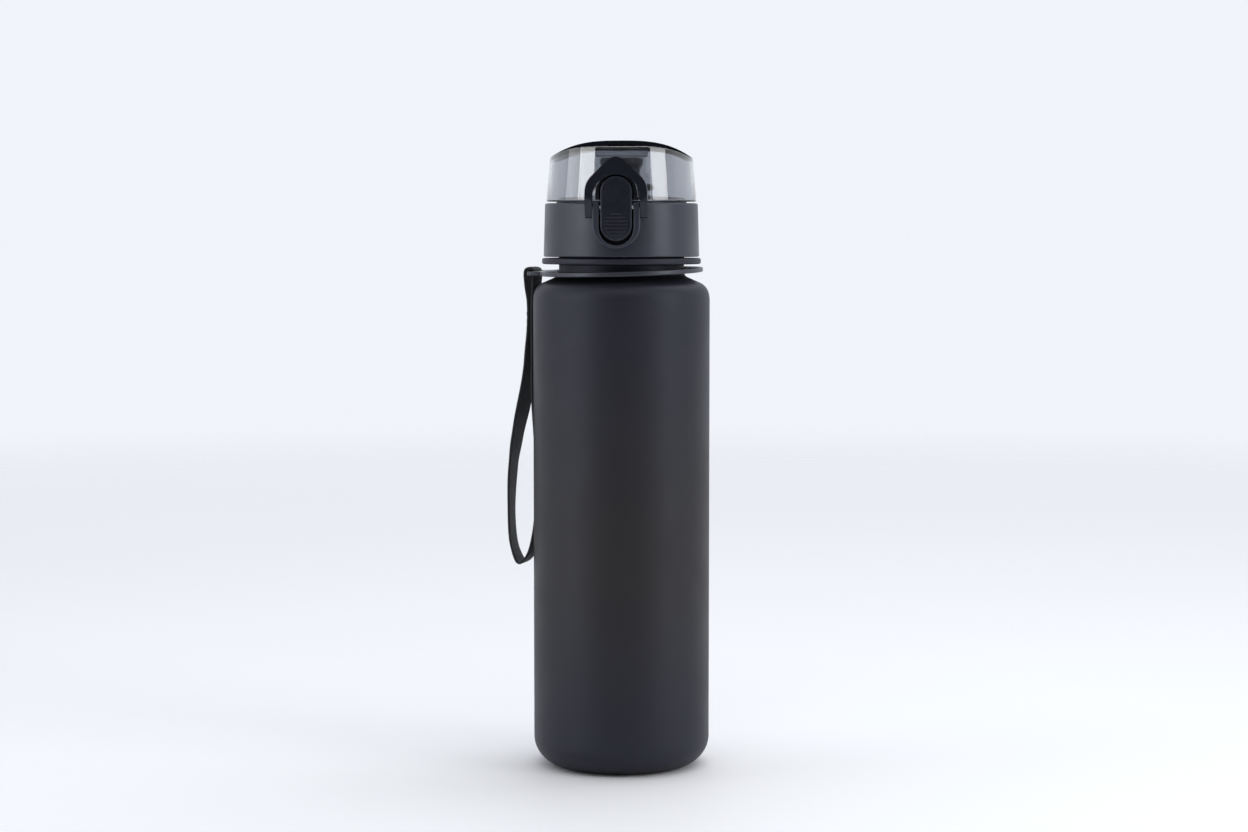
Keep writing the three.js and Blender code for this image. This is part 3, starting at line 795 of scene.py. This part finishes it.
def loose_end():
    """The sewing thread's cut end, which stands out from the webbing's edge."""
    root_out, root_across, root_z = 34.7, -4.4, 166.6
    drift = 0.3
    path = []
    for reach, rise in ((0, 0), (1.0, 0.15), (2.0, 0.1), (2.9, -0.25), (3.6, -0.8)):
        sideways = ACROSS * (root_across - drift * reach)
        path.append(OUT * (root_out + reach) + sideways + Vector((0, 0, root_z + rise)))
    return wire("thread_end", path, 0.13, 8)


def wrist_strap():
    """The outer strand twists a little as it hangs, and the inner one lies round the bottle's side."""
    line = evenly(smooth_route(STRAP_ROUTE, 24), RIB_PITCH / RIB_STEPS, RIB_STEPS)
    count = len(line)
    fold = min(range(count), key=lambda i: line[i].y)
    centres = []
    sections = []
    for i, point in enumerate(line):
        sway = math.radians(eased(SWAY, point.y)) if i > fold else 0.0
        twist = math.radians(eased(TWIST, point.y)) if i < fold else 0.0
        turn = Matrix.Rotation(sway, 3, "Z")
        out = turn @ OUT
        along = (line[(i + 1) % count] - line[i - 1]).normalized()
        heading = out * along.x + Vector((0, 0, along.y))
        twirl = Matrix.Rotation(twist, 3, heading)
        side = twirl @ (out * along.y + Vector((0, 0, -along.x)))
        across = twirl @ turn @ ACROSS
        centres.append(out * point.x + Vector((0, 0, point.y)))
        sections.append(ribbed_ring(side, across, 2 * math.pi * i / RIB_STEPS))
    strap = swept("strap_webbing", centres, sections, closed=True)
    finished(strap, "black_webbing", "strap", "webbing", "wrist_strap")
    sewing = joined("strap_stitching", [*stitches(z_low=159.5, rows=7, columns=5), loose_end()])
    finished(sewing, "sewing_thread", "strap", "webbing")


# ---------------------------------------------------------------- screw lid

def neck_gasket():
    hole_r = 19.9
    low, high = node_box("neck_gasket")
    outline = rectangle(hole_r, high.x, low.z, high.z, 0.4)
    finished(revolve("gasket_washer", outline), "clear_silicone", "gasket", "silicone", "neck_gasket")


def cup(half, bottom, top):
    """An outline with a half-round lower end and a flat top, in X and Z."""
    return [Vector((half, top)), Vector((-half, top))] + arc((0, bottom + half), half, 180, 360, 40)


def arch(half, bottom, top):
    """An outline with a flat lower end and a half-round top."""
    return [Vector((-half, bottom)), Vector((half, bottom))] + arc((0, top - half), half, 0, 180, 40)


def stadium(half, bottom, top):
    """An outline that is half round at both ends."""
    return arc((0, top - half), half, 0, 180, 48) + arc((0, bottom + half), half, 180, 360, 48)


def hinge_hole():
    """The hinge pin's hole, which the collar's lugs and the cap's knuckles share."""
    return arc((HINGE.y, HINGE.z), 1.1, 0, 350, 35)


HINGE_EYE_R = 2.3      # outer radius of the lugs and knuckles round that hole
COLLAR_TOP = 207.6
BEZEL_FRONT = -31.8
BEZEL_BACK = -27.05
BEZEL_LOW = 191.2
BEZEL_HALF = 8.55
OPENING_HALF = 6.1
OPENING_LOW = 192.5


def lid_collar():
    low, top = COLLAR_LOW.z, COLLAR_TOP
    top_r = COLLAR_R - 0.55
    bore = 27.0
    profile = fillet([
        (bore, low, 0.3), (COLLAR_R, low, 0.5), (top_r, top, 0.7), (bore, top, 0.3),
    ], closed=True)
    collar = revolve("collar_skirt", profile, 256)
    past_wall = (-40, -20)
    cutter = plate("cutter", [cup(OPENING_HALF, OPENING_LOW, top + 4)], *past_wall, 0.01, "xz")
    collar = boolean(collar, cutter, "DIFFERENCE")
    finished(collar, "satin_collar", "lid", "collar", "lid_collar")

    outline = [Vector((-BEZEL_HALF, top))]
    outline += arc((0, BEZEL_LOW + BEZEL_HALF), BEZEL_HALF, 180, 360, 48)
    outline += [Vector((BEZEL_HALF, top)), Vector((OPENING_HALF, top))]
    outline += arc((0, OPENING_LOW + OPENING_HALF), OPENING_HALF, 360, 180, 48)
    outline += [Vector((-OPENING_HALF, top))]
    bezel = plate("collar_bezel", [outline], BEZEL_FRONT, BEZEL_BACK, 0.55, "xz")
    finished(bezel, "satin_collar", "lid", "collar")

    eye_back = HINGE.y + HINGE_EYE_R
    lug_top = 205
    lug = [Vector((bore, 197))]
    lug += bezier((27.6, 196.6), (31.5, 198.3), (eye_back, 202), (eye_back, HINGE.z), 20)
    lug += arc((HINGE.y, HINGE.z), HINGE_EYE_R, 0, 180, 24)[1:]
    lug += [Vector((HINGE.y - HINGE_EYE_R, lug_top)), Vector((bore, lug_top))]
    for side, x_low, x_high in (("left", -8.8, -5.3), ("right", 5.3, 8.8)):
        piece = plate(f"hinge_lug_{side}", [lug, hinge_hole()], x_low, x_high, 0.3, "yz")
        finished(piece, "satin_collar", "lid", "collar")


def lid_core():
    """The threaded cup under the collar. Its deck carries a lip and the boss that holds the spout."""
    low = CORE_LOW.z
    deck, deck_top = 204.9, 206.9
    lip, lip_top = 23.9, CORE_HIGH.z
    lip_in = lip - 1.9
    boss, boss_top = 10.5, 209.4
    socket, socket_floor = 6.6, 207.3
    drain = 5
    bore = 25.0
    profile = fillet([
        (bore, low, 0.3), (CORE_R, low, 0.4), (CORE_R, deck_top, 0.6), (lip, deck_top, 0.3),
        (lip, lip_top, 0.5), (lip_in, lip_top, 0.5), (lip_in, deck_top, 0.3),
        (boss, deck_top, 0.4), (boss, boss_top, 0.4), (socket, boss_top, 0.2), (socket, socket_floor, 0.2),
        (drain, socket_floor, 0.2), (drain, deck, 0.3), (bore, deck, 0.8),
    ], closed=True, steps=4)
    core = revolve("core_cup", profile)
    thread = helix_ridge("lid_thread", bore, LID_CREST, THREAD_START + THREAD_LEAD / 2)
    finished(core, "satin_collar", "lid", "collar", "lid_core")
    finished(thread, "satin_collar", "lid", "collar")


def spout():
    """A mouthpiece on a stepped foot. The seal ring sits in the groove above the foot."""
    low, top = SPOUT_LOW.z, SPOUT_HIGH.z
    bore = 4.6
    tail = 6.2
    base, base_low, base_top = SPOUT_HIGH.x, 209.7, 211.6
    step, step_top = 8.6, 213.5
    groove, groove_top = 7.2, 215.6
    stem = 6.85
    lip = 8.0
    profile = fillet([
        (bore, low, 0.3), (tail, low, 0.3), (tail, base_low, 0.2), (base, base_low, 0.4),
        (base, base_top, 0.5), (step, base_top, 0.3), (step, step_top, 0.2), (groove, step_top, 0.1),
        (groove, groove_top, 0.1), (7.8, 215.7, 0.3), (stem, 216.7, 0.6), (stem, top - 3.6, 1.5),
        (lip, top - 1.9, 0.5), (lip, top, 0.75), (bore, top, 0.8),
    ], closed=True, steps=5)
    finished(revolve("spout_tube", profile, 128), "gloss_black", "lid", "gloss_black", "spout")

    seal_in = 7.5
    low, high = node_box("spout_seal_ring")
    outline = fillet([
        (seal_in, low.z, 0.3), (high.x, low.z, 0.6), (high.x, high.z, 0.6), (seal_in, high.z, 0.3),
    ], closed=True)
    seal = revolve("seal_washer", outline, 128)
    finished(seal, "seal_rubber", "lid", "seal", "spout_seal_ring")


# ---------------------------------------------------------------- cap

CAP_TOP_R = 26.3
CAP_WALL = 1.5
CAP_LOW_Z = 208.3
CAP_WALL_TOP = 223.9
SIDE_DROP = CAP_HIGH.z - CAP_WALL_TOP
FRONT_DROP = 3.0
ARCH_POWER = 3
ROOF_STEPS = 28       # from the rim to the axis
SEAT_STEP = 20        # the step of the inner roof that the plug's seat takes the place of


def top_height(across, along, apex):
    """Height of the cap's arched top. across and along are shares of the rim's radius, in X and in Y."""
    return apex - SIDE_DROP * abs(across) ** ARCH_POWER - FRONT_DROP * along ** 2


def cap_roof(angle, inset, apex):
    """The top's profile at an angle, from the rim to the axis, as (radius, z)."""
    x, y = math.cos(angle), math.sin(angle)
    lean = (CAP_R - CAP_TOP_R) / (CAP_WALL_TOP - CAP_LOW_Z)
    rim_r = CAP_R - inset - lean * (top_height(x, y, apex) - CAP_LOW_Z)
    shares = [math.cos(math.pi / 2 * k / ROOF_STEPS) for k in range(ROOF_STEPS)] + [0.0]
    return [Vector((rim_r * q, top_height(x * q, y * q, apex))) for q in shares]


def cap_profile(angle):
    """Down the outside of the cap at an angle, up its inside and round the plug's seat."""
    apex = CAP_HIGH.z
    seat_in, seat_out, seat_low = 10.0, 11.2, 226.2
    crown = cap_roof(angle, 0, apex)[::-1]
    roof = cap_roof(angle, CAP_WALL, apex - CAP_WALL)
    rounded = 5       # the crown's last points, which give way to the rim's rounding
    wall = fillet([
        tuple(crown[-rounded]), (*crown[-1], 0.45), (CAP_R, CAP_LOW_Z, 0.5),
        (CAP_R - CAP_WALL, CAP_LOW_Z, 0.3), tuple(roof[0]),
    ])
    seat_top = roof[SEAT_STEP].y
    seat = fillet([
        (seat_out, seat_top), (seat_out, seat_low, 0.3), (seat_in, seat_low, 0.3), (seat_in, seat_top),
    ])
    return crown[:-rounded] + wall[:-1] + roof[:SEAT_STEP] + seat + roof[SEAT_STEP + 1:]


def cap_shell():
    shell = turned_shape("cap_dome", cap_profile, 256)
    eye_back = HINGE.y + HINGE_EYE_R
    foot, top = 208.8, 214.5
    outline = [Vector((26.6, foot)), Vector((26.2, top)), Vector((28.0, top))]
    outline += bezier((28.2, top), (31.8, 213.4), (eye_back, 211), (eye_back, HINGE.z), 20)
    outline += arc((HINGE.y, HINGE.z), HINGE_EYE_R, 0, -180, 24)[1:]
    outline += [Vector((HINGE.y - HINGE_EYE_R, foot))]
    outline.reverse()
    for x_low, x_high in ((-5.0, -2.2), (2.2, 5.0)):
        knuckle = plate("knuckle", [outline, hinge_hole()], x_low, x_high, 0.25, "yz")
        shell = boolean(shell, knuckle, "UNION")
    finished(shell, "smoked_plastic", "cap", "smoked_cap", "cap_shell")


def clear_of_cap(obj):
    """Cuts away what would lie inside the cap's wall, with a hair of room."""
    room = 0.05
    below = 200
    widening = 0.6      # about how much wider the wall's cone would be at that height
    profile = fillet([
        (0, below), (CAP_R + room + widening, below), (CAP_TOP_R + room, CAP_WALL_TOP), (0, CAP_WALL_TOP),
    ])
    outside = revolve("cap_outside", profile, 256, closed=False)
    return boolean(obj, outside, "DIFFERENCE")


def cap_catch():
    """The upper half of the button's rim, closed at its back, with the ledge that the hook holds."""
    bottom, top = CATCH_LOW.z, CATCH_HIGH.z
    half = CATCH_HIGH.x
    opening_half, opening_top = 5.95, 217.4
    front, inside_cap = CATCH_LOW.y, -23
    outline = [Vector((half, bottom))]
    outline += arc((0, top - half), half, 0, 180, 48)
    outline += [Vector((-half, bottom)), Vector((-opening_half, bottom))]
    outline += arc((0, opening_top - opening_half), opening_half, 180, 0, 48)
    outline += [Vector((opening_half, bottom))]
    rim = clear_of_cap(plate("catch_rim", [outline], front, inside_cap, 0.4, "xz"))
    panel = arch(opening_half + 0.5, bottom, opening_top + 0.4)
    back = clear_of_cap(plate("catch_back", [panel], -28.5, inside_cap, 0.1, "xz"))
    ledge = rectangle(-3, 3, 212.2, 213.8, 0.3)
    catch = plate("catch_ledge", [ledge], -28.8, -28.0, 0.15, "xz")
    whole = joined("catch_frame", [rim, back, catch])
    finished(whole, "gloss_black", "cap", "gloss_black", "cap_catch")


def cap_plug():
    low, high = node_box("cap_plug")
    nub = 4.1
    face = SPOUT_HIGH.z + 0.3
    profile = fillet([
        (0, low.z), (nub, low.z, 0.5), (nub, face, 0.4), (high.x, face, 0.6), (high.x, high.z, 0.5),
        (0, high.z),
    ])
    plug = revolve("plug_disc", profile, 128, closed=False)
    finished(plug, "clear_silicone", "cap", "silicone", "cap_plug")


COIL_STEPS = 24       # points to each turn of a spring


def hinge():
    low, high = node_box("hinge_pin")
    pin = cross_bar("hinge_rod", 0.9, low.x, high.x, HINGE)
    finished(pin, "steel_wire", "lid", "steel", "hinge_pin")
    radius, half, turns, leg = 1.6, 1.5, 4, 4
    points = [(-half, HINGE.y - radius, HINGE.z + leg)]
    steps = COIL_STEPS * turns
    for k in range(steps + 1):
        angle = math.pi + 2 * math.pi * k / COIL_STEPS
        x = half * (2 * k / steps - 1)
        points.append((x, HINGE.y + radius * math.cos(angle), HINGE.z + radius * math.sin(angle)))
    points.append((half, HINGE.y - radius, HINGE.z - leg))
    spring = wire("lid_spring", points, 0.25)
    finished(spring, "steel_wire", "lid", "steel", "hinge_spring")


# ---------------------------------------------------------------- latch button and lock ring

def latch_button():
    half = BUTTON_HIGH.x
    low, high = BUTTON_LOW.z, BUTTON_HIGH.z
    front = -32.2
    back = -30.0
    parts = [plate("face", [stadium(half, low, high)], front, back, 0.5, "xz")]
    grip_z, grip_r, ribs, pitch = 199.75, 4.4, 7, 1.25
    rib_half = 0.3
    for i in range(ribs):
        rise = (i - (ribs - 1) / 2) * pitch
        reach = math.sqrt(grip_r ** 2 - rise ** 2) - rib_half
        z = grip_z + rise
        outline = arc((reach - rib_half, z), rib_half, -90, 90, 10)
        outline += arc((rib_half - reach, z), rib_half, 90, 270, 10)
        parts.append(plate(f"rib_{i}", [outline], front - 0.3, front + 0.6, 0.22, "xz"))
    parts.append(cross_bar("lug", 1.9, -3.2, 3.2, BUTTON_AXIS))
    hook = rectangle(-2.6, 2.6, 214.2, 215.8, 0.3)
    parts.append(plate("hook", [hook], back - 0.5, -29.1, 0.15, "xz"))
    button = joined("button_body", parts)
    finished(button, "button_black", "button", "button", "latch_button")

    low, high = node_box("button_pin")
    pin = cross_bar("button_rod", 0.8, low.x, high.x, BUTTON_AXIS)
    finished(pin, "steel_wire", "lid", "steel", "button_pin")
    radius, turns, lead = 1.7, 3, 0.7
    first_y, middle_z = -29.45, 198
    points = []
    for k in range(turns * COIL_STEPS + 1):
        angle = 2 * math.pi * k / COIL_STEPS
        y = first_y + lead * k / COIL_STEPS
        points.append((radius * math.cos(angle), y, middle_z + radius * math.sin(angle)))
    spring = wire("return_spring", points, 0.22)
    finished(spring, "steel_wire", "lid", "steel", "button_spring")


def lock_ring():
    """The hoop's front view, crossed with its side view, so that it is thin above and curls to its feet."""
    half = LOCK_HIGH.x
    foot, tip = LOCK_LOW.z, LOCK_HIGH.z
    shoulder = [Vector((half, foot))]
    shoulder += bezier((half, 210.5), (half, 214.6), (9.6, 216.3), (7.5, 218.2), 20)
    shoulder += bezier((7.5, 218.2), (4.6, 220.9), (2.6, tip), (0, tip), 16)[1:]
    outline = shoulder + [Vector((-p.x, p.y)) for p in reversed(shoulder[:-1])]
    inner_half = 8.6
    spring_z, arch_top = 209, 217.6      # where the inner arch begins and ends
    arch_steps = 40
    outline += [Vector((-inner_half, foot))]
    for k in range(arch_steps + 1):
        angle = math.pi - math.pi * k / arch_steps
        outline.append(Vector((
            inner_half * math.cos(angle), spring_z + (arch_top - spring_z) * math.sin(angle),
        )))
    outline += [Vector((inner_half, foot))]
    front, back = LOCK_LOW.y, -30.8
    foot_r = 1.3
    foot_back = LOCK_AXIS.y + foot_r
    above = 230
    square = 0.001       # plate needs a bevel, and this one is too small to see
    body = plate("lock_face", [outline], front - 2, -26, square, "xz")
    side = [Vector((front, above)), Vector((front, 207.5))]
    side += [Vector((LOCK_AXIS.y - foot_r, LOCK_AXIS.z))]
    side += arc((LOCK_AXIS.y, LOCK_AXIS.z), foot_r, 180, 360, 20)
    side += bezier((foot_back, 208.5), (foot_back, 210.5), (back, 210.5), (back, 213), 12)
    side += [Vector((back, above))]
    slab = plate("side", [side], -12, 12, square, "yz")
    body = boolean(body, slab, "INTERSECT")
    soften = body.modifiers.new("soften", "BEVEL")
    soften.width = 0.42 * MM
    soften.segments = 4
    soften.limit_method = "ANGLE"
    soften.angle_limit = math.radians(40)
    body = tidy(from_evaluated(body), 45)
    stubs = [
        cross_bar("stub", 0.8, low, high, LOCK_AXIS)
        for low, high in ((-9.5, -7.4), (7.4, 9.5))
    ]
    ring = joined("lock_hoop", [body, *stubs])
    finished(ring, "gloss_black", "lock", "gloss_black", "lock_ring")


# ---------------------------------------------------------------- camera, floor and light

CAMERA_LENS = 72.6
CAMERA_SENSOR = 36
CAMERA_TURN = math.radians(3.5)        # round the bottle, to the right of its front
CAMERA_FAR = 927.6
CAMERA_HIGH = 198.0
CAMERA_DIP = math.radians(4.236)
CAMERA_ASIDE = math.radians(0.058)
FLOOR_R_M = 1.7
LIT_POINT_M = Vector((0, 0, 0.13))     # what the lights face


def camera():
    data = bpy.data.cameras.new("camera")
    data.lens = CAMERA_LENS
    data.sensor_width = CAMERA_SENSOR
    obj = placed("camera", data)
    obj.location = Vector((
        CAMERA_FAR * math.sin(CAMERA_TURN), -CAMERA_FAR * math.cos(CAMERA_TURN), CAMERA_HIGH,
    )) * MM
    obj.rotation_euler = (math.pi / 2 - CAMERA_DIP, 0, CAMERA_TURN - CAMERA_ASIDE)
    bpy.context.scene.camera = obj


def floor():
    """A pale disc that fades into the studio behind it."""
    mesh = bmesh.new()
    bmesh.ops.create_circle(mesh, cap_ends=True, segments=96, radius=FLOOR_R_M)
    data = bpy.data.meshes.new("floor")
    mesh.to_mesh(data)
    mesh.free()
    obj = placed("floor", data)
    look = Finish("floor", (0.93, 0.935, 0.95), 0.6, Specular_IOR_Level=0.2)
    look.bump(look.noise(300, 2), 0.00002, 0.1)
    look.fade_out(0.25, 1.6)
    obj.data.materials.append(look.material)


# Name, azimuth (0 the front, 90 the right) and elevation in degrees, distance, width and height in metres,
# power, and whether the light falls on matt surfaces or is only seen in shiny ones.
LIGHTS = [
    ("left_strip", -53, 12, 0.9, 0.4, 0.9, 3.4, False),
    ("left_box", -77, 12, 0.9, 0.42, 0.9, 1.3, True),
    ("right_box", 65, 12, 0.9, 0.42, 0.9, 3.4, True),
    ("top_box", 150, 62, 1.2, 1.2, 0.8, 4, True),
    ("front_box", 6, 52, 1.1, 1.1, 0.5, 2.4, True),
]


def area_light(name, azimuth, elevation, distance, width, height, power, lights_matt):
    """A soft box that faces the bottle's middle."""
    a, e = math.radians(azimuth), math.radians(elevation)
    away = Vector((math.sin(a) * math.cos(e), -math.cos(a) * math.cos(e), math.sin(e)))
    light = bpy.data.lights.new(name, "AREA")
    light.shape = "RECTANGLE"
    light.size = width
    light.size_y = height
    light.energy = power
    obj = placed(name, light)
    obj.location = LIT_POINT_M + away * distance
    obj.rotation_euler = (-away).to_track_quat("-Z", "Y").to_euler()
    obj.visible_camera = False
    obj.visible_diffuse = lights_matt


def world():
    """A white studio: bright behind and above the bottle, dimmer on the camera's side."""
    made = bpy.data.worlds.new("studio")
    made.use_nodes = True
    bpy.context.scene.world = made
    tree = made.node_tree
    place = tree.nodes.new("ShaderNodeTexCoord")
    split = tree.nodes.new("ShaderNodeSeparateXYZ")
    tree.links.new(place.outputs["Generated"], split.inputs["Vector"])
    depth = tree.nodes.new("ShaderNodeMapRange")
    dim, bright = 0.14, 1.0
    map_range(depth, -0.6, 0.15, dim, bright)
    tree.links.new(split.outputs["Y"], depth.inputs["Value"])
    seen = tree.nodes.new("ShaderNodeLightPath")
    either = tree.nodes.new("ShaderNodeMath")
    either.operation = "MAXIMUM"
    tree.links.new(depth.outputs["Result"], either.inputs[0])
    tree.links.new(seen.outputs["Is Camera Ray"], either.inputs[1])
    back = tree.nodes["Background"]
    back.inputs["Color"].default_value = (0.875, 0.9, 0.955, 1)
    tree.links.new(either.outputs["Value"], back.inputs["Strength"])


for build in (
    camera, wrist_strap, bottle, strap_ring, neck_gasket, lid_collar, lid_core, spout,
    cap_shell, cap_catch, cap_plug, hinge, latch_button, lock_ring, floor, world,
):
    build()
for light in LIGHTS:
    area_light(*light)
bpy.context.scene.view_settings.view_transform = "Standard"
